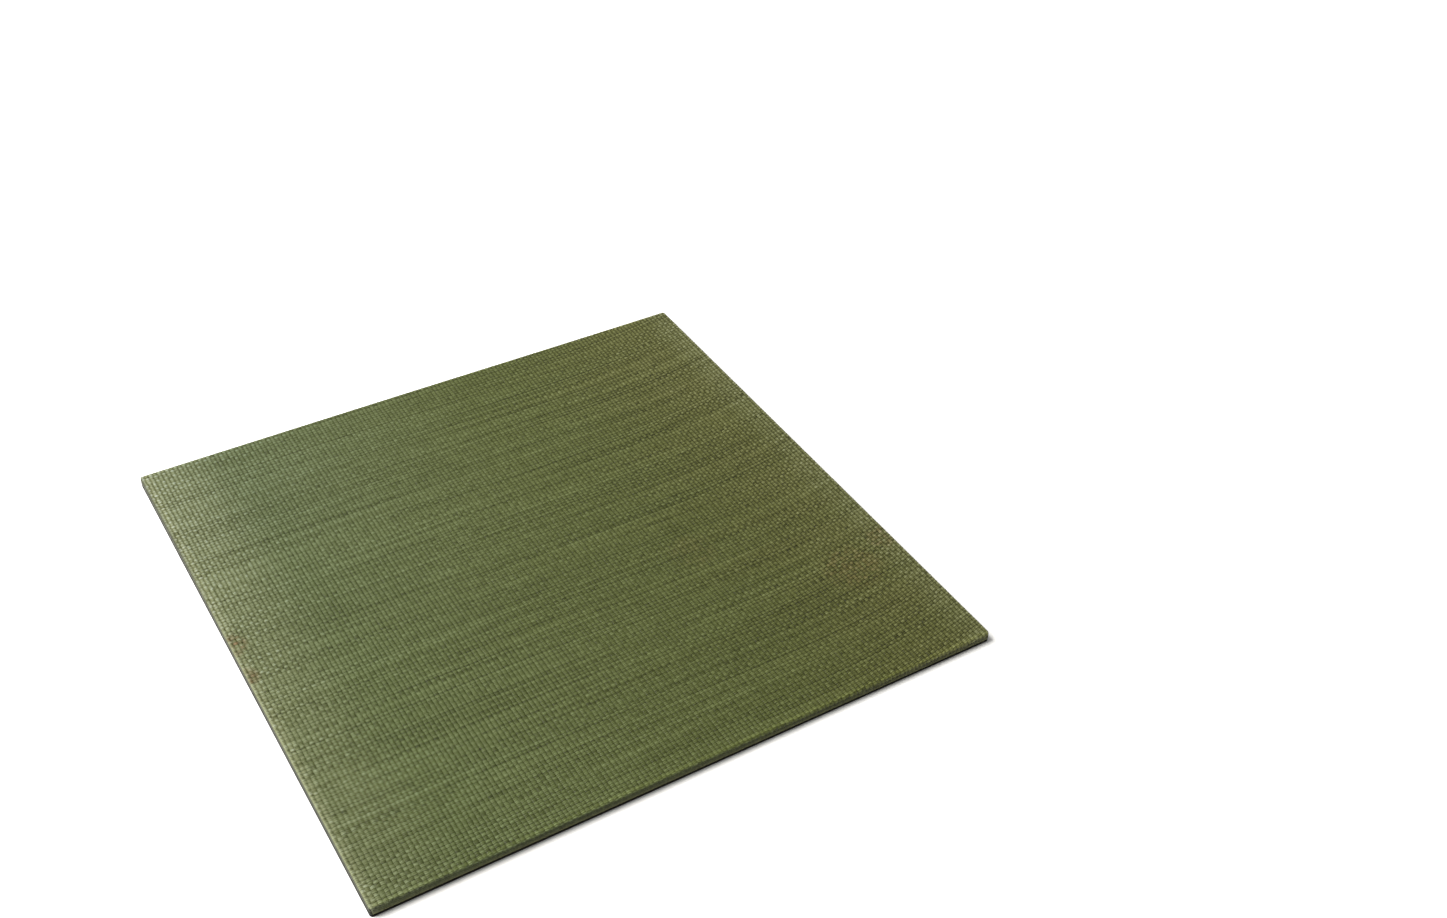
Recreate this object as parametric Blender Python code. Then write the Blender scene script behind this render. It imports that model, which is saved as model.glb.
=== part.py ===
"""A borderless square tatami mat: woven rush pulled over a thin board, on a non-slip backing sheet.

Metres, +Z up. The origin is on the floor under the middle of the mat. The rush strands run along
X and the warp cords, which pull them into ribs, run along Y.
"""

import math

import bmesh
import bpy
from mathutils import Matrix, Vector

# The mat
SIDE = 0.820
THICKNESS = 0.015
CORNER_RADIUS = 0.004

# The woven facing: ribs over the warp cords, and the edges that it is pulled round
RIB_COUNT = 144
RIB_DEPTH = 0.0007
LOW_RIB_DROP = 0.0001
FIRM_EDGE_RADIUS = 0.0024
SOFT_EDGE_RADIUS = 0.0040
EDGE_SOFTENS_FROM = -0.100
EDGE_SOFTENS_TO = 0.300
UNDER_EDGE_RADIUS = 0.0018
SIDE_DRAW_IN = 0.0004

# The backing sheet
BACKING_THICKNESS = 0.0020
BACKING_INSET = 0.0003
BACKING_EDGE = 0.0003
CORNER_SEGMENTS = 6
SEAT_GAP = 0.0003

# Finishes, in linear colour
RUSH_GREEN = (0.120, 0.138, 0.054)
RUSH_ROUGHNESS = 0.55
BACKING_BLACK = (0.012, 0.012, 0.010)
BACKING_ROUGHNESS = 0.90
SHARP_ANGLE = math.radians(50)

SAME_PLACE = 1e-6
POINTS_APART = 0.0009

HALF_SIDE = SIDE / 2
RIB_PITCH = SIDE / RIB_COUNT
FLAT_REACH = HALF_SIDE - CORNER_RADIUS
FACING_HEIGHT = THICKNESS - BACKING_THICKNESS - SEAT_GAP

# Points of one rib across its width, from one valley to the next
RIB_SECTION = (
    # along the pitch, share of the depth
    (0.00, 1.0),
    (0.30, 0.0),
    (0.70, 0.0),
)

# Lengths of the stretches that the weave runs over, past the flat top
LEVEL_RUN = CORNER_RADIUS - FIRM_EDGE_RADIUS
OVER_RUN = FIRM_EDGE_RADIUS * math.pi / 2
UPRIGHT_RUN = FACING_HEIGHT - FIRM_EDGE_RADIUS - UNDER_EDGE_RADIUS
UNDER_RUN = UNDER_EDGE_RADIUS * math.pi / 2
BORDER_RUN = LEVEL_RUN + OVER_RUN + UPRIGHT_RUN + UNDER_RUN

# Places past the flat top where an edge has points: the middle and end of its turn, and the side's
# foot and end
EDGE_TURNS = (
    LEVEL_RUN + OVER_RUN / 2,
    LEVEL_RUN + OVER_RUN,
    BORDER_RUN - UNDER_RUN,
    BORDER_RUN,
)


def smooth_share(value, start, end):
    """0 before start, 1 after end and a soft S between them."""
    share = min(max((value - start) / (end - start), 0.0), 1.0)
    return share * share * (3 - 2 * share)


def edge_radius(x):
    """The near and far top edges are crisp at the left, and a little softer to the right."""
    soft = smooth_share(x, EDGE_SOFTENS_FROM, EDGE_SOFTENS_TO)
    return FIRM_EDGE_RADIUS + soft * (SOFT_EDGE_RADIUS - FIRM_EDGE_RADIUS)


def down_the_edge(run, radius):
    """Where the weave lies that far past the flat top: out, down, and its normal out and up."""
    level = CORNER_RADIUS - radius
    over = radius * math.pi / 2
    upright = FACING_HEIGHT - radius - UNDER_EDGE_RADIUS
    run *= (level + over + upright + UNDER_RUN) / BORDER_RUN
    foot = CORNER_RADIUS - SIDE_DRAW_IN
    if run <= level:
        return run, 0.0, 0.0, 1.0
    if run <= level + over:
        angle = (run - level) / radius
        out = level + radius * math.sin(angle)
        return out, radius * (1 - math.cos(angle)), math.sin(angle), math.cos(angle)
    if run <= level + over + upright:
        fallen = run - level - over
        return CORNER_RADIUS - SIDE_DRAW_IN * fallen / upright, radius + fallen, 1.0, 0.0
    angle = min((run - level - over - upright) / UNDER_EDGE_RADIUS, math.pi / 2)
    out = foot - UNDER_EDGE_RADIUS * (1 - math.cos(angle))
    down = radius + upright + UNDER_EDGE_RADIUS * math.sin(angle)
    return out, down, math.cos(angle), -math.sin(angle)


def edge_places():
    """Places on the flat sheet where each edge begins, turns and ends."""
    outward = [FLAT_REACH + run for run in (0.0, *EDGE_TURNS)]
    return [-place for place in reversed(outward)] + outward


def rib_columns():
    """Lengthwise rows of points: how far across the flat sheet each lies, and how far it sinks."""
    reach = FLAT_REACH + BORDER_RUN
    ribs_each_way = math.ceil(reach / RIB_PITCH)
    columns = [(place, 0.0) for place in edge_places()]
    for rib in range(-ribs_each_way, ribs_each_way):
        drop = LOW_RIB_DROP if rib % 2 else 0.0
        for along, share in RIB_SECTION:
            across = (rib + along) * RIB_PITCH
            nearest = min(abs(across - place) for place, _ in columns)
            if nearest > POINTS_APART and abs(across) < reach:
                columns.append((across, max(drop, share * RIB_DEPTH)))
    return sorted(columns)


def place_on_mat(across, along, sunk):
    """Takes a point of the flat sheet to its place: over the board, round its edges and corners."""
    past_x = max(abs(across) - FLAT_REACH, 0.0)
    past_y = max(abs(along) - FLAT_REACH, 0.0)
    corner_turn = 0.0
    if past_x or past_y:
        corner_turn = math.pi / 4 * min(past_x, past_y) / max(past_x, past_y)
    if past_y > past_x:
        corner_turn = math.pi / 2 - corner_turn
    radius = edge_radius(across) if past_y else FIRM_EDGE_RADIUS
    out, down, normal_out, normal_up = down_the_edge(max(past_x, past_y), radius)
    out -= sunk * normal_out
    down += sunk * max(normal_up, 0.0)
    x = min(abs(across), FLAT_REACH) + out * math.cos(corner_turn)
    y = min(abs(along), FLAT_REACH) + out * math.sin(corner_turn)
    return Vector((math.copysign(x, across), math.copysign(y, along), THICKNESS - down))


def rush_facing():
    """A flat woven sheet, laid over the board, pulled round all four edges and closed below."""
    columns = rib_columns()
    rows = edge_places()
    mesh = bmesh.new()
    bmesh.ops.create_grid(mesh, x_segments=len(columns) - 1, y_segments=len(rows) - 1, size=1.0)
    for vert in mesh.verts:
        across, sunk = columns[round((vert.co.x + 1) / 2 * (len(columns) - 1))]
        along = rows[round((vert.co.y + 1) / 2 * (len(rows) - 1))]
        vert.co = place_on_mat(across, along, sunk)
    bmesh.ops.holes_fill(mesh, edges=[edge for edge in mesh.edges if edge.is_boundary])
    bmesh.ops.recalc_face_normals(mesh, faces=mesh.faces)
    return mesh


def is_upright(edge):
    return abs(edge.verts[0].co.z - edge.verts[1].co.z) > SAME_PLACE


def round_edges(mesh, edges, offset, segments):
    bmesh.ops.bevel(
        mesh,
        geom=edges,
        offset=offset,
        segments=segments,
        profile=0.5,
        affect="EDGES",
        material=-1,
    )


def backing_sheet():
    """A flat square sheet with the mat's rounded corners and slightly eased cut edges."""
    mesh = bmesh.new()
    width = SIDE - 2 * BACKING_INSET
    size = Matrix.Diagonal((width, width, BACKING_THICKNESS, 1.0))
    bmesh.ops.create_cube(mesh, size=1.0, matrix=size)
    corners = [edge for edge in mesh.edges if is_upright(edge)]
    round_edges(mesh, corners, CORNER_RADIUS, CORNER_SEGMENTS)
    rims = [edge for edge in mesh.edges if not is_upright(edge)]
    round_edges(mesh, rims, BACKING_EDGE, 1)
    return mesh


def finish_material(name, colour, roughness):
    material = bpy.data.materials.new(name)
    material.use_nodes = True
    shader = material.node_tree.nodes["Principled BSDF"]
    shader.inputs["Base Color"].default_value = (*colour, 1.0)
    shader.inputs["Roughness"].default_value = roughness
    shader.inputs["Metallic"].default_value = 0.0
    return material


def add_piece(collection, name, mesh, material, location):
    data = bpy.data.meshes.new(name)
    mesh.to_mesh(data)
    mesh.free()
    data.materials.append(material)
    piece = bpy.data.objects.new(name, data)
    piece.location = location
    collection.objects.link(piece)
    return piece


def clear_scene():
    for thing in list(bpy.data.objects):
        bpy.data.objects.remove(thing, do_unlink=True)


def build_mat():
    clear_scene()
    collection = bpy.data.collections.new("tatami_mat")
    bpy.context.scene.collection.children.link(collection)
    floor_point = bpy.data.objects.new("mat_origin", None)
    collection.objects.link(floor_point)

    rush = finish_material("rush", RUSH_GREEN, RUSH_ROUGHNESS)
    backing = finish_material("backing", BACKING_BLACK, BACKING_ROUGHNESS)

    facing = add_piece(collection, "rush_facing", rush_facing(), rush, (0.0, 0.0, 0.0))
    under_middle = (0.0, 0.0, BACKING_THICKNESS / 2)
    sheet = add_piece(collection, "backing_sheet", backing_sheet(), backing, under_middle)
    for piece in (facing, sheet):
        piece.parent = floor_point
        piece.data.shade_smooth()
        piece.data.set_sharp_from_angle(angle=SHARP_ANGLE)


build_mat()
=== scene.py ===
import math

import bmesh
import bpy
from mathutils import Euler, Matrix, Vector, noise


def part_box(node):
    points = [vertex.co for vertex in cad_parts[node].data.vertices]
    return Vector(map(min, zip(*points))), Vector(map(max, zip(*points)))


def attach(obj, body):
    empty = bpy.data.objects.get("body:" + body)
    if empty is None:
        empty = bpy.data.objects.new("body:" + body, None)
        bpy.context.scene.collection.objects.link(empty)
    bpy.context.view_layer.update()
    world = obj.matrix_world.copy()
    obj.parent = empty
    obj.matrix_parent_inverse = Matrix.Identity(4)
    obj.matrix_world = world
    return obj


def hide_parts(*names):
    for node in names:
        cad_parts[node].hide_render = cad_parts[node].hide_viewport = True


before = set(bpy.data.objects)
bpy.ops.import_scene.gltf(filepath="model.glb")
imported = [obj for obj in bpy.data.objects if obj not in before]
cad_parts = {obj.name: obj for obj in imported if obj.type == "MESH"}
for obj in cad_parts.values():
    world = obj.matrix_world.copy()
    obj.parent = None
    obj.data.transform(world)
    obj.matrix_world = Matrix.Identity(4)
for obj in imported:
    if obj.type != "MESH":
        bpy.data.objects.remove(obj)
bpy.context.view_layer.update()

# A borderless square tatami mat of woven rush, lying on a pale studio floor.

# The mat's box, from the frame
facing_low, facing_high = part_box("rush_facing")
sheet_low, sheet_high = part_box("backing_sheet")

# The weave: ribs over the warp cords run along Y, and the rush strands run along X
RIB_COUNT = 144
RIB_DEPTH = 0.00075
LOW_RIB_DROP = 0.00010
RIB_WANDER = 0.00030
RIB_UNEVEN = 0.00009
RIB_LONG_WAVE = 14.0
POINTS_A_RIB = 5
ROWS_ALONG_RIBS = 88
STRAND_PITCH = 0.0026
STRAND_DRIFT = 2.0
BUNCH = 2.0
WIDE_BUNCH = 4.0
LEAN_FROM = 0.180
LEAN = 0.45
RIB_WAVER = 0.70
ROW_WAVER = 0.45
STRAND_WAVER = 0.90
GRAIN_RELIEF = 0.0006
LOOSENESS = 1.6
STRIPE_DRIFT = 2.2
BEAD_SEED = 2.0
# Painted shadows of the tucks below the near edge, so many a metre
TUCK_SHADOWS_A_METRE = 160.0

# Clouds in the weave: features a metre across the ribs and along them, and a seed
DRIFT_CLOUD = (3.5, 9.0, 0.0)
LOOSE_CLOUD = (6.0, 70.0, 4.0)
STRIPE_CLOUD = (1.4, 34.0, 12.0)
WAVER_CLOUD = (120.0, 330.0, 51.0)
RIPPLE_CLOUD = (170.0, 70.0, 55.0)
BATCH_CLOUD = (1.8, 26.0, 0.0)
CHEQUERED_CLOUD = (4.0, 80.0, 21.0)
STRIPED_CLOUD = (2.5, 50.0, 27.0)
CRACKED_CLOUD = (40.0, 120.0, 61.0)

# How much the shade varies: by the row of bunches, the stripe, the strand, the chequer and the
# bead, how strong the painted highlight on the crests is, and how dark the painted shade is in the
# valleys between ribs, the gaps between rows and the cracks between strands
STREAKS = 0.03
STRIPES = 0.15
STRANDS = 0.28
CHECKS = 0.24
BEADS = 0.24
CREST_HIGHLIGHT = 0.20
VALLEY_SHADE = 0.58
GAP_SHADE = 0.88
CRACK_SHADE = 0.50
DARKEST_STRAND = 0.15

# How much the tint varies: by the batch of rush, cooler at the far left as painted sheen, paler in
# a band and a rim along the left edge, partly paler rush and partly painted sheen and highlight,
# and paler in a band along the right one
BATCHES = 0.32
COOL_SHEEN_SHARE = 0.30
LEFT_BAND = 0.130
BAND_SHARE = 0.40
LEFT_RIM = 0.014
RIM_SHARE = 0.30
RIGHT_BAND = 0.050
RIGHT_PALE_SHARE = 0.12

# One dark speck of chaff caught in the weave, and where strands are rusty: place, radius and share
SPECK_PLACE = (-0.2165, -0.2665)
SPECK_RADIUS = 0.0022
RUST_STAINS = (
    ((0.330, -0.225), 0.050, 0.35),
    ((0.395, -0.195), 0.025, 0.40),
    ((0.165, -0.095), 0.040, 0.16),
    ((-0.410, 0.035), 0.026, 1.00),
    ((-0.410, -0.025), 0.020, 0.90),
)

# The edges that the weave is pulled round
CORNER_RADIUS = 0.004
FIRM_EDGE_RADIUS = 0.0024
SOFT_EDGE_RADIUS = 0.0040
EDGE_SOFTENS_FROM = -0.100
EDGE_SOFTENS_TO = 0.300
UNDER_EDGE_RADIUS = 0.0018
SIDE_BELLY = 0.0004

HALF_SIDE = (facing_high.x - facing_low.x) / 2
TOP = facing_high.z
UNDERSIDE = facing_low.z
RIB_PITCH = 2 * HALF_SIDE / RIB_COUNT
FLAT_REACH = HALF_SIDE - CORNER_RADIUS

# The sheet's flat size: the top, and on each side the edge, the side and what is turned under
BORDER_LENGTH = 0.0225

WEAVE_MAP = "weave"

# The camera: where the photographer stood, and which way the lens looked
CAMERA_PLACE = (-0.6867, -1.5202, 1.5023)
CAMERA_YAW = -32.175
CAMERA_PITCH = 38.754
CAMERA_ROLL = 1.509
LENS = 42.462
SENSOR = 36.0


def smooth_share(value, start, end):
    """0 before start, 1 after end and a soft S between them."""
    share = min(max((value - start) / (end - start), 0.0), 1.0)
    return share * share * (3 - 2 * share)


def edge_radius(x):
    """The top edge is crisp at the left and a little softer towards the right."""
    soft = smooth_share(x, EDGE_SOFTENS_FROM, EDGE_SOFTENS_TO)
    return FIRM_EDGE_RADIUS + soft * (SOFT_EDGE_RADIUS - FIRM_EDGE_RADIUS)


def down_the_edge(run, radius):
    """Where the weave lies, that far past the flat top: out, down, and its outward normal."""
    level = CORNER_RADIUS - radius
    if run <= level:
        return run, 0.0, 0.0, 1.0
    run -= level
    turn = radius * math.pi / 2
    if run <= turn:
        angle = run / radius
        out = level + radius * math.sin(angle)
        return out, radius * (1 - math.cos(angle)), math.sin(angle), math.cos(angle)
    run -= turn
    upright = TOP - UNDERSIDE - radius - UNDER_EDGE_RADIUS
    if run <= upright:
        belly = SIDE_BELLY * math.sin(math.pi * run / upright)
        return CORNER_RADIUS - SIDE_BELLY + belly, radius + run, 1.0, 0.0
    run -= upright
    turn = UNDER_EDGE_RADIUS * math.pi / 2
    foot = CORNER_RADIUS - SIDE_BELLY
    if run <= turn:
        angle = run / UNDER_EDGE_RADIUS
        out = foot - UNDER_EDGE_RADIUS * (1 - math.cos(angle))
        down = radius + upright + UNDER_EDGE_RADIUS * math.sin(angle)
        return out, down, math.cos(angle), -math.sin(angle)
    return foot - UNDER_EDGE_RADIUS - (run - turn), TOP - UNDERSIDE, 0.0, -1.0


def rib_sink(across, along):
    """How far the weave is sunk below the crests, at a place on the flat sheet."""
    slow = RIB_LONG_WAVE * along
    rib_number = math.floor(across / RIB_PITCH + 0.5)
    wander = RIB_WANDER * noise.noise(Vector((slow, 0.31 * rib_number, 4.7)))
    phase = (across + wander) / RIB_PITCH
    rib = math.floor(phase)
    hump = math.sin(math.pi * (phase - rib))
    uneven = RIB_UNEVEN * (0.5 + noise.noise(Vector((3 * slow, 1.7 * rib, 9.2))))
    drop = LOW_RIB_DROP if rib % 2 else 0.0
    return RIB_DEPTH * (1 - hump ** 0.8) + (drop + uneven) * hump


def place_on_mat(across, along):
    """Takes a point of the flat sheet to its place on the mat, past the edges and round them."""
    over_x = max(abs(across) - FLAT_REACH, 0.0)
    over_y = max(abs(along) - FLAT_REACH, 0.0)
    side_x = math.copysign(1.0, across)
    side_y = math.copysign(1.0, along)
    run = max(over_x, over_y)
    if over_x >= over_y:
        turn = math.pi / 4 * (over_y / over_x) if over_x else 0.0
    else:
        turn = math.pi / 2 - math.pi / 4 * (over_x / over_y)
    flat_x = min(max(across, -FLAT_REACH), FLAT_REACH)
    flat_y = min(max(along, -FLAT_REACH), FLAT_REACH)
    radius = edge_radius(across) if over_y else FIRM_EDGE_RADIUS
    out, down, normal_out, normal_up = down_the_edge(run, radius)
    sink = rib_sink(across, along) * max(normal_up, 1.0 - abs(normal_up), 0.0)
    if normal_up < 0:
        sink *= 1.0 + normal_up
    out -= sink * normal_out
    away = Vector((side_x * math.cos(turn), side_y * math.sin(turn), 0.0))
    place = Vector((flat_x, flat_y, TOP - down - sink * normal_up)) + out * away
    return place


def stations(flat_steps):
    """Places along one way of the sheet: border, flat top, border."""
    step = RIB_PITCH / POINTS_A_RIB
    border_steps = round(BORDER_LENGTH / step)
    border = [FLAT_REACH + BORDER_LENGTH * n / border_steps for n in range(1, border_steps + 1)]
    flat = [-FLAT_REACH + 2 * FLAT_REACH * n / flat_steps for n in range(flat_steps + 1)]
    return [-place for place in reversed(border)] + flat + border


def woven_facing():
    """The rush facing: a flat woven sheet, laid over the board and pulled round its edges."""
    columns = stations(round(2 * FLAT_REACH / RIB_PITCH * POINTS_A_RIB))
    rows = stations(ROWS_ALONG_RIBS)
    mesh = bmesh.new()
    bmesh.ops.create_grid(
        mesh, x_segments=len(columns) - 1, y_segments=len(rows) - 1, size=1.0
    )
    weave = mesh.loops.layers.uv.new(WEAVE_MAP)
    on_sheet = {}
    for vert in mesh.verts:
        column = round((vert.co.x + 1) / 2 * (len(columns) - 1))
        row = round((vert.co.y + 1) / 2 * (len(rows) - 1))
        on_sheet[vert] = (columns[column], rows[row])
    for vert, (across, along) in on_sheet.items():
        vert.co = place_on_mat(across, along)
    for face in mesh.faces:
        for loop in face.loops:
            loop[weave].uv = on_sheet[loop.vert]
    rim = [edge for edge in mesh.edges if edge.is_boundary]
    closed = bmesh.ops.holes_fill(mesh, edges=rim)
    for face in closed["faces"]:
        for loop in face.loops:
            loop[weave].uv = on_sheet[loop.vert]
    bmesh.ops.recalc_face_normals(mesh, faces=mesh.faces)
    return mesh


def backing():
    """The thin non-slip sheet under the mat, with rounded corners and eased cut edges."""
    mesh = bmesh.new()
    size = sheet_high - sheet_low
    shape = Matrix.Diagonal((size.x, size.y, size.z, 1.0))
    middle = Matrix.Translation((sheet_low + sheet_high) / 2)
    bmesh.ops.create_cube(mesh, size=1.0, matrix=middle @ shape)
    corners = [e for e in mesh.edges if abs(e.verts[0].co.z - e.verts[1].co.z) > size.z / 2]
    ease(mesh, corners, CORNER_RADIUS, 8)
    rims = [e for e in mesh.edges if abs(e.verts[0].co.z - e.verts[1].co.z) < size.z / 2]
    ease(mesh, rims, size.z / 4, 3)
    return mesh


def ease(mesh, edges, offset, segments):
    bmesh.ops.bevel(
        mesh,
        geom=edges,
        offset=offset,
        segments=segments,
        profile=0.5,
        affect="EDGES",
        material=-1,
    )


def add_piece(name, mesh, material):
    data = bpy.data.meshes.new(name)
    mesh.to_mesh(data)
    mesh.free()
    data.shade_smooth()
    data.materials.append(material)
    piece = bpy.data.objects.new(name, data)
    bpy.context.scene.collection.objects.link(piece)
    return piece


class Finish:
    """A node material with one Principled shader, and short calls for the nodes that feed it."""

    def __init__(self, name):
        self.material = bpy.data.materials.new(name)
        self.material.use_nodes = True
        self.tree = self.material.node_tree
        self.shader = self.tree.nodes["Principled BSDF"]

    def node(self, kind, **settings):
        made = self.tree.nodes.new(kind)
        for setting, value in settings.items():
            setattr(made, setting, value)
        return made

    def feed(self, socket, value):
        if isinstance(value, bpy.types.NodeSocket):
            self.tree.links.new(value, socket)
        else:
            socket.default_value = value

    def math(self, operation, first, second=0.0, third=0.0):
        made = self.node("ShaderNodeMath", operation=operation)
        for socket, value in zip(made.inputs, (first, second, third)):
            self.feed(socket, value)
        return made.outputs["Value"]

    def times(self, first, *others):
        for other in others:
            first = self.math("MULTIPLY", first, other)
        return first

    def at(self, x=0.0, y=0.0, z=0.0):
        made = self.node("ShaderNodeCombineXYZ")
        for socket, value in zip(made.inputs, (x, y, z)):
            self.feed(socket, value)
        return made.outputs["Vector"]

    def range(self, value, low, high, to_low=0.0, to_high=1.0, soft=False):
        made = self.node("ShaderNodeMapRange")
        made.interpolation_type = "SMOOTHSTEP" if soft else "LINEAR"
        for socket, given in zip(made.inputs, (value, low, high, to_low, to_high)):
            self.feed(socket, given)
        return made.outputs["Result"]

    def cloud(self, place, scale, detail=2.0):
        made = self.node("ShaderNodeTexNoise", noise_dimensions="3D")
        self.feed(made.inputs["Vector"], place)
        made.inputs["Scale"].default_value = scale
        made.inputs["Detail"].default_value = detail
        return made.outputs["Fac"]

    def chance(self, place):
        made = self.node("ShaderNodeTexWhiteNoise", noise_dimensions="3D")
        self.feed(made.inputs["Vector"], place)
        return made.outputs["Value"]

    def blend(self, share, first, second, way="MIX"):
        made = self.node("ShaderNodeMix", data_type="RGBA", blend_type=way)
        self.feed(made.inputs[0], share)
        self.feed(made.inputs[6], first)
        self.feed(made.inputs[7], second)
        return made.outputs[2]

    def set(self, name, value):
        self.feed(self.shader.inputs[name], value)


# Rush colours, linear
FRESH_RUSH = (0.083, 0.104, 0.036, 1.0)
OLIVE_RUSH = (0.072, 0.083, 0.021, 1.0)
BROWN_RUSH = (0.104, 0.100, 0.033, 1.0)
# Pale rush, also standing for painted sheen and painted highlights along the left edge and side
PALE_RUSH_AND_SHEEN = (0.240, 0.255, 0.150, 1.0)
# Dark rush, for a speck of chaff, and also standing for painted shade and painted shadow on the
# sides
DARK_RUSH_AND_SHADE = (0.020, 0.023, 0.008, 1.0)
RUST_RUSH = (0.105, 0.070, 0.024, 1.0)
# Painted sheen: the rush as it looks cooler and greyer under a sheen
COOL_SHEEN_RUSH = (0.100, 0.125, 0.072, 1.0)
FOOT_GREY = (0.130, 0.133, 0.062, 1.0)
BACKING_BLACK = (0.006, 0.006, 0.005, 1.0)
BACKING_WORN = (0.014, 0.014, 0.012, 1.0)

# Darker rush is warmer and lighter rush paler, from its own tone and from the painted shade and
# painted highlights: the share of blue, from the darkest to the lightest
BLUE_IN_SHADE = (0.50, 1.53)
RUSH_ROUGHNESS = (0.40, 0.54)
RUSH_GLOSS = 0.18
BACKING_ROUGHNESS = (0.95, 0.70)
BACKING_GLOSS = 0.20
PEBBLE_RELIEF = 0.0003


class Weave:
    """Where a point lies in the weave, worked out from the flat sheet's map."""

    def __init__(self, f):
        sheet = f.node("ShaderNodeUVMap", uv_map=WEAVE_MAP)
        apart = f.node("ShaderNodeSeparateXYZ")
        f.feed(apart.inputs["Vector"], sheet.outputs["UV"])
        self.across, self.along = apart.outputs["X"], apart.outputs["Y"]

        # Ribs: which one, and how far across it
        rib_phase = f.math("DIVIDE", self.across, RIB_PITCH)
        self.rib, in_rib = self.whole_and_rest(f, rib_phase)
        odd = f.math("PINGPONG", self.rib, 1.0)

        # Strands: each shows on every second rib, and dips under the warp between. Where the weave
        # was beaten unevenly they drift, and towards the right their rows climb
        drift = f.cloud(self.spot(f, *DRIFT_CLOUD), 1.0)
        past = f.math("MAXIMUM", f.math("SUBTRACT", self.across, LEAN_FROM), 0.0)
        climb = f.times(past, past, LEAN)
        level = f.math("SUBTRACT", self.along, climb)
        wavy = f.math("MULTIPLY_ADD", drift, STRAND_DRIFT, f.math("DIVIDE", level, STRAND_PITCH))
        staggered = f.math("MULTIPLY_ADD", odd, 0.5, wavy)
        self.strand, in_strand = self.whole_and_rest(f, staggered)
        self.each = f.chance(f.at(self.rib, self.strand))

        # Strands lie in bunches, and a row of bunches runs right across
        bunch_phase = f.math("DIVIDE", wavy, BUNCH)
        self.row, in_bunch = self.whole_and_rest(f, bunch_phase)
        self.bead = f.chance(f.at(self.rib, self.row, BEAD_SEED))

        # Wider bunches lie like a chequer, shifted by half on every second rib, and as stripes
        wide = f.math("DIVIDE", wavy, WIDE_BUNCH)
        loose = f.cloud(self.spot(f, *LOOSE_CLOUD), 1.0)
        shifted = f.math("MULTIPLY_ADD", odd, 0.5, f.math("MULTIPLY_ADD", loose, LOOSENESS, wide))
        self.chequer = self.wave(f, shifted)
        slow = f.cloud(self.spot(f, *STRIPE_CLOUD), 1.0)
        self.stripe = self.wave(f, f.math("MULTIPLY_ADD", slow, STRIPE_DRIFT, wide))

        # 1 on the crest of a rib, strand or bunch, falling to 0 between it and the next. Nothing
        # in the weave is quite straight, so each wavers by a part of its width
        waver = f.math("SUBTRACT", f.cloud(self.spot(f, *WAVER_CLOUD), 1.0, 1.0), 0.5)
        ripple = f.math("SUBTRACT", f.cloud(self.spot(f, *RIPPLE_CLOUD), 1.0, 1.0), 0.5)
        in_rib = f.math("MULTIPLY_ADD", waver, RIB_WAVER, in_rib)
        self.crest = self.wave(f, in_rib)
        self.on_rib = self.hump(f, in_rib)
        self.on_strand = self.hump(f, f.math("MULTIPLY_ADD", ripple, STRAND_WAVER, in_strand))
        self.on_bunch = self.hump(f, f.math("MULTIPLY_ADD", ripple, ROW_WAVER, in_bunch))

    def whole_and_rest(self, f, phase):
        """The number of the rib, strand or bunch, and the place in it from -0.5 to 0.5."""
        whole = f.math("FLOOR", phase)
        return whole, f.math("SUBTRACT", f.math("SUBTRACT", phase, whole), 0.5)

    def wave(self, f, phase):
        return f.math("COSINE", f.math("MULTIPLY", phase, math.tau))

    def hump(self, f, phase):
        return f.math("ABSOLUTE", f.math("COSINE", f.math("MULTIPLY", phase, math.pi)))

    def spot(self, f, across_scale, along_scale, seed):
        """A place for a noise that is stretched to those scales, in features a metre."""
        stretched_x = f.math("MULTIPLY", self.across, across_scale)
        stretched_y = f.math("MULTIPLY", self.along, along_scale)
        return f.at(stretched_x, stretched_y, seed)

    def by_number(self, f, number, apart, scale, seed):
        """The same for one that changes from each rib, strand or row to the next."""
        return f.at(f.math("MULTIPLY", self.across, scale), f.math("MULTIPLY", number, apart), seed)

    def near_spot(self, f, place, radius):
        """1 at that place on the flat sheet, falling to 0 at the radius."""
        sideways = f.math("ABSOLUTE", f.math("SUBTRACT", self.across, place[0]))
        lengthwise = f.math("ABSOLUTE", f.math("SUBTRACT", self.along, place[1]))
        squares = f.math("ADD", f.math("POWER", sideways, 2.0), f.math("POWER", lengthwise, 2.0))
        return f.range(f.math("SQRT", squares), radius / 2, radius, 1.0, 0.0, soft=True)


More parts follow.
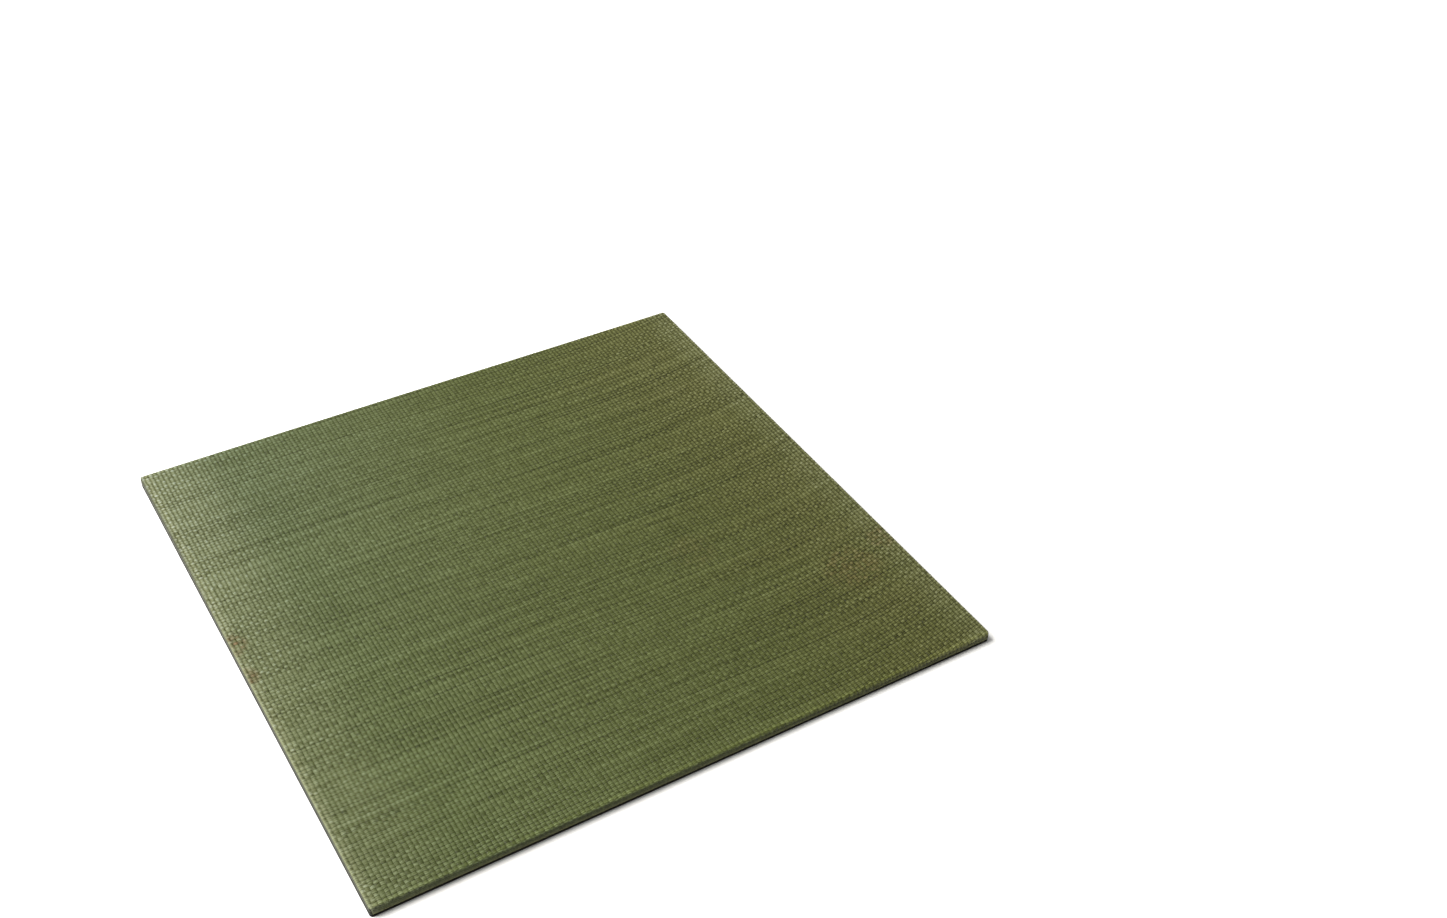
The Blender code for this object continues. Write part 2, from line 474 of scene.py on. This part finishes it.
def rush_tint(f, weave):
    """Paler and greener to the left, browner to the right, cloudy along the strands. Along the left
    edge the paleness is partly paler rush and partly painted sheen and a painted highlight, and the
    far left is cooler as painted sheen.
    """
    batch = f.cloud(weave.spot(f, *BATCH_CLOUD), 1.0, 3.0)
    to_right = f.range(weave.across, -0.30, 0.34)
    tone = f.math("MULTIPLY_ADD", f.math("SUBTRACT", batch, 0.5), BATCHES, to_right)
    rush = f.blend(f.range(tone, 0.0, 0.9), FRESH_RUSH, OLIVE_RUSH)
    rush = f.blend(f.range(tone, 0.60, 1.30, 0.0, 0.7, soft=True), rush, BROWN_RUSH)
    # Painted sheen: cooler and greyer towards the far left corner
    far_left_sheen = f.times(f.range(weave.across, 0.05, -0.30), f.range(weave.along, -0.10, 0.30))
    rush = f.blend(f.times(far_left_sheen, COOL_SHEEN_SHARE), rush, COOL_SHEEN_RUSH)

    left_end, right_end = -FLAT_REACH, FLAT_REACH
    # Paler along the left edge, more so further back: partly paler rush and partly painted sheen,
    # and on the rim also a painted highlight
    paler = f.range(weave.along, -0.40, 0.25, 0.45, 1.0)
    band = f.range(weave.across, left_end + LEFT_BAND, left_end, 0.0, BAND_SHARE, soft=True)
    rim = f.range(weave.across, left_end + LEFT_RIM, left_end, 0.0, RIM_SHARE, soft=True)
    rush = f.blend(f.math("ADD", f.times(band, paler), rim), rush, PALE_RUSH_AND_SHEEN)
    # Paler in a band along the right edge
    lighter_share = f.range(weave.across, right_end - RIGHT_BAND, right_end, 0.0, RIGHT_PALE_SHARE, soft=True)
    rush = f.blend(lighter_share, rush, PALE_RUSH_AND_SHEEN)

    for place, radius, share in RUST_STAINS:
        stained = f.times(weave.near_spot(f, place, radius), weave.bead, share)
        rush = f.blend(stained, rush, RUST_RUSH)
    return f.blend(weave.near_spot(f, SPECK_PLACE, SPECK_RADIUS), rush, DARK_RUSH_AND_SHADE)


def strand_shade(f, weave):
    """How light the strands are: by the row, strand and bead, in a chequer, in stripes, with a
    painted highlight on the crests.
    """
    by_row = weave.by_number(f, weave.row, 3.7, 3.2, 3.0)
    streak = f.range(f.cloud(by_row, 1.0, 1.0), 0.25, 0.75, -STREAKS, STREAKS)
    by_strand = weave.by_number(f, weave.strand, 5.3, 2.6, 6.0)
    strand = f.range(f.cloud(by_strand, 1.0), 0.28, 0.72, -STRANDS, STRANDS)
    bead = f.range(f.math("ADD", weave.each, weave.bead), 0.0, 2.0, -BEADS, BEADS)

    # The chequer is strongest at both ends, and the stripes fade where the near edge pulls them
    chequered = f.range(f.cloud(weave.spot(f, *CHEQUERED_CLOUD), 1.0), 0.38, 0.62, 0.25, 1.0)
    at_right_end = f.range(weave.across, 0.05, 0.36, 0.75, 1.7)
    at_left_end = f.range(weave.across, -0.15, -0.40, 1.0, 2.0)
    chequer = f.times(weave.chequer, chequered, at_right_end, at_left_end, CHECKS)
    striped = f.range(f.cloud(weave.spot(f, *STRIPED_CLOUD), 1.0), 0.38, 0.62, 0.25, 1.0)
    pulled = f.range(weave.along, -0.400, -0.370, 0.3, 1.0)
    stripe = f.times(weave.stripe, striped, pulled, STRIPES)

    # Painted highlight: the crests are lighter at the right and in the far left corner
    at_right = f.range(weave.across, 0.0, 0.30)
    far_left_sheen = f.times(f.range(weave.across, -0.20, -0.40), f.range(weave.along, -0.25, 0.30))
    highlight = f.times(weave.crest, f.math("MAXIMUM", at_right, far_left_sheen), CREST_HIGHLIGHT)
    level = 1.0
    for part in (streak, strand, bead, chequer, stripe, highlight):
        level = f.math("ADD", part, level)
    return f.math("MAXIMUM", level, DARKEST_STRAND)


def gap_shade(f, weave):
    """How dark the painted shade in the gaps between rows of bunches is, stronger towards both
    ends.
    """
    to_left = f.range(weave.across, 0.05, -0.40, 0.85, 1.05)
    to_right = f.range(weave.across, 0.05, 0.40, 0.85, 1.1)
    by_row = weave.by_number(f, weave.row, 3.7, 2.4, 8.0)
    open_gap = f.range(f.cloud(by_row, 1.0, 1.0), 0.30, 0.70, 0.15, 1.0)
    gap_ends = f.range(weave.across, -0.10, 0.20, 0.55, 0.66)
    gap = f.range(weave.on_bunch, 0.06, gap_ends, GAP_SHADE, 0.0, soft=True)
    return f.times(gap, f.math("MAXIMUM", to_left, to_right), open_gap)


def valley_shade(f, weave):
    """How dark the painted shade in the valleys between ribs is: patchy, and shallower towards the
    near edge.
    """
    dip = f.range(weave.on_strand, 0.0, 1.0, 1.0, 0.72)
    valley = f.range(f.math("POWER", weave.on_rib, 1.5), 0.0, 1.0, VALLEY_SHADE, 0.0)
    rib_apart = f.math("MULTIPLY", weave.rib, 2.3)
    along_rib = f.at(rib_apart, f.math("MULTIPLY", weave.along, 100.0), 31.0)
    patchy = f.range(f.cloud(along_rib, 1.0), 0.30, 0.70, 0.45, 1.20)
    shallow = f.range(weave.along, -0.40, 0.0, 0.62, 0.98)
    return f.times(valley, dip, shallow, patchy)


def crack_shade(f, weave):
    """How dark the painted shade in the cracks between single strands is, mostly in the near left
    part.
    """
    crack = f.range(weave.on_strand, 0.0, 0.60, CRACK_SHADE, 0.0, soft=True)
    cracked = f.range(f.cloud(weave.spot(f, *CRACKED_CLOUD), 1.0), 0.40, 0.60, 0.1, 1.0)
    at_left = f.range(weave.across, 0.0, -0.35, 0.4, 1.0)
    near = f.range(weave.along, 0.30, -0.30, 0.5, 1.0)
    return f.times(crack, cracked, at_left, near)


def rush_shade(f, weave):
    """How light the weave is, from its strands and the painted shade in its gaps, valleys and
    cracks, darker towards the near edge as painted shade, a little darker off the left end and
    lighter at the right end.
    """
    shade = strand_shade(f, weave)
    for dark in (gap_shade, valley_shade, crack_shade):
        shade = f.times(shade, f.math("SUBTRACT", 1.0, dark(f, weave)))
    # Painted shade: the weave darker towards the near edge than at the far one
    painted_near_shade = f.range(weave.along, -0.35, 0.40, 0.965, 1.12)
    off_left = f.range(weave.across, -0.33, -0.05, 1.0, 0.95)
    at_right = f.range(weave.across, 0.28, 0.40, 1.0, 1.12)
    return f.times(shade, painted_near_shade, off_left, at_right)


def rush_sides(f, weave, rush):
    """Paler rush and a painted highlight where the left side folds over, painted shade on the
    others, and greyer towards the foot.
    """
    past_x = f.math("SUBTRACT", f.math("ABSOLUTE", weave.across), FLAT_REACH)
    past_y = f.math("SUBTRACT", f.math("ABSOLUTE", weave.along), FLAT_REACH)

    # The near and far sides: a painted highlight on the fold and painted shade below it, further
    # down towards the right
    to_right = f.range(weave.across, -0.20, 0.25)
    shade_from = f.range(to_right, 0.0, 1.0, 0.0030, 0.0052)
    shade_to = f.range(to_right, 0.0, 1.0, 0.0090, 0.0098)
    lit = f.range(to_right, 0.0, 1.0, 1.40, 1.60)
    fold_light_and_shade = f.range(past_y, shade_from, shade_to, lit, 0.60, soft=True)
    on_fold = f.range(past_y, -0.0020, 0.0020)
    fold_light_and_shade = f.blend(on_fold, (1.0, 1.0, 1.0, 1.0), f.at(fold_light_and_shade, fold_light_and_shade, fold_light_and_shade))
    rush = f.blend(1.0, rush, fold_light_and_shade, "MULTIPLY")

    # Painted shadows of the tucks below the near edge, beside the left corner
    tuck = f.times(f.range(past_y, 0.0026, 0.0040), f.range(past_y, 0.0080, 0.0060))
    each_tuck = f.cloud(f.at(f.math("MULTIPLY", weave.across, TUCK_SHADOWS_A_METRE), 0.0, 41.0), 1.0)
    at_corner = f.range(weave.across, -0.26, -0.34, 0.0, 0.85, soft=True)
    tuck_shadow = f.times(tuck, f.range(each_tuck, 0.42, 0.58), at_corner)
    rush = f.blend(tuck_shadow, rush, DARK_RUSH_AND_SHADE)

    # The left side is pale in its nearer half, partly paler rush and partly a painted highlight,
    # and dark in the further one
    left = f.range(weave.across, -FLAT_REACH, -FLAT_REACH - 0.003, soft=True)
    nearer = f.range(weave.along, 0.0, 0.25, 1.0, 0.0, soft=True)
    rush = f.blend(f.times(left, nearer, 0.5), rush, PALE_RUSH_AND_SHEEN)
    further = f.math("SUBTRACT", 1.0, nearer)
    rush = f.blend(f.times(left, further, 0.6), rush, DARK_RUSH_AND_SHADE)

    # Greyer towards the foot of the near and far sides
    rush = f.blend(f.range(past_y, 0.0090, 0.0160, soft=True), rush, FOOT_GREY)
    # Painted shade at the foot of the left and right sides
    return f.blend(f.range(past_x, 0.0025, 0.0060, soft=True), rush, DARK_RUSH_AND_SHADE)


def rush_finish():
    f = Finish("woven_rush")
    weave = Weave(f)
    rush = rush_tint(f, weave)
    shade = rush_shade(f, weave)
    # Painted light in the tint: painted shade turns warmer and painted highlights paler, as does
    # the rush's own darker and lighter tone
    blue = f.times(shade, f.range(shade, 0.1, 1.8, *BLUE_IN_SHADE))
    rush = f.blend(1.0, rush, f.at(shade, shade, blue), "MULTIPLY")
    rush = rush_sides(f, weave, rush)
    f.set("Base Color", rush)

    bump = f.node("ShaderNodeBump")
    bump.inputs["Strength"].default_value = 1.0
    bump.inputs["Distance"].default_value = GRAIN_RELIEF
    f.feed(bump.inputs["Height"], f.times(weave.on_strand, f.math("POWER", weave.on_rib, 0.5)))
    f.set("Normal", bump.outputs["Normal"])
    f.set("Roughness", f.range(weave.each, 0.0, 1.0, *RUSH_ROUGHNESS))
    f.set("Specular IOR Level", RUSH_GLOSS)
    return f.material


def backing_finish():
    f = Finish("black_backing")
    place = f.node("ShaderNodeTexCoord").outputs["Object"]
    pebbles = f.cloud(place, 900.0, 2.0)
    lighter_share = f.cloud(place, 14.0, 3.0)
    f.set("Base Color", f.blend(lighter_share, BACKING_BLACK, BACKING_WORN))
    f.set("Specular IOR Level", BACKING_GLOSS)
    bump = f.node("ShaderNodeBump")
    bump.inputs["Strength"].default_value = 0.6
    bump.inputs["Distance"].default_value = PEBBLE_RELIEF
    f.feed(bump.inputs["Height"], pebbles)
    f.set("Normal", bump.outputs["Normal"])
    f.set("Roughness", f.range(pebbles, 0.3, 0.7, *BACKING_ROUGHNESS))
    return f.material


FLOOR_SPAN = 24.0
FLOOR_DROP = 0.0001
FLOOR_COLOUR = (0.90, 0.90, 0.89, 1.0)


def studio_floor():
    f = Finish("pale_floor")
    place = f.node("ShaderNodeTexCoord").outputs["Object"]
    f.set("Base Color", FLOOR_COLOUR)
    f.set("Roughness", f.range(f.cloud(place, 3.0), 0.0, 1.0, 0.85, 0.95))
    f.set("Specular IOR Level", 0.1)
    mesh = bmesh.new()
    bmesh.ops.create_grid(mesh, x_segments=1, y_segments=1, size=FLOOR_SPAN / 2)
    bmesh.ops.translate(mesh, verts=mesh.verts, vec=(0.0, 0.0, -FLOOR_DROP))
    floor = add_piece("studio_floor", mesh, f.material)


WINDOW_PLACE = (-3.7, 2.4, 5.2)
WINDOW_WIDTH = 6.0
WINDOW_POWER = 1150.0
WINDOW_COLOUR = (1.0, 0.985, 0.96)
ROOM_COLOUR = (1.0, 0.99, 0.97, 1.0)
ROOM_LIGHT = 0.35


def soft_light(name, place, width, power, colour):
    light = bpy.data.lights.new(name, "AREA")
    light.shape = "DISK"
    light.size = width
    light.energy = power
    light.color = colour
    lamp = bpy.data.objects.new(name, light)
    lamp.location = place
    lamp.rotation_mode = "QUATERNION"
    lamp.rotation_quaternion = (-Vector(place)).to_track_quat("-Z", "Y")
    bpy.context.scene.collection.objects.link(lamp)


def studio_light():
    soft_light("window_side", WINDOW_PLACE, WINDOW_WIDTH, WINDOW_POWER, WINDOW_COLOUR)
    world = bpy.data.worlds.new("studio")
    bpy.context.scene.world = world
    world.use_nodes = True
    sky = world.node_tree.nodes["Background"]
    sky.inputs["Color"].default_value = ROOM_COLOUR
    sky.inputs["Strength"].default_value = ROOM_LIGHT


def photographer():
    lens = bpy.data.cameras.new("camera")
    lens.lens = LENS
    lens.sensor_width = SENSOR
    camera = bpy.data.objects.new("camera", lens)
    camera.location = CAMERA_PLACE
    turn = Euler((math.radians(90 - CAMERA_PITCH), 0.0, math.radians(CAMERA_YAW))).to_matrix()
    roll = Matrix.Rotation(math.radians(CAMERA_ROLL), 3, "Z")
    camera.rotation_euler = (turn @ roll).to_euler()
    bpy.context.scene.collection.objects.link(camera)
    bpy.context.scene.camera = camera


def picture_settings():
    view = bpy.context.scene.view_settings
    view.view_transform = "Standard"
    view.look = "None"
    view.exposure = 0.0
    view.gamma = 1.0


def dress_mat():
    facing = add_piece("woven_facing", woven_facing(), rush_finish())
    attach(facing, "root")
    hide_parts("rush_facing")

    sheet = add_piece("non_slip_backing", backing(), backing_finish())
    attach(sheet, "root")
    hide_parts("backing_sheet")


photographer()
dress_mat()
studio_floor()
studio_light()
picture_settings()
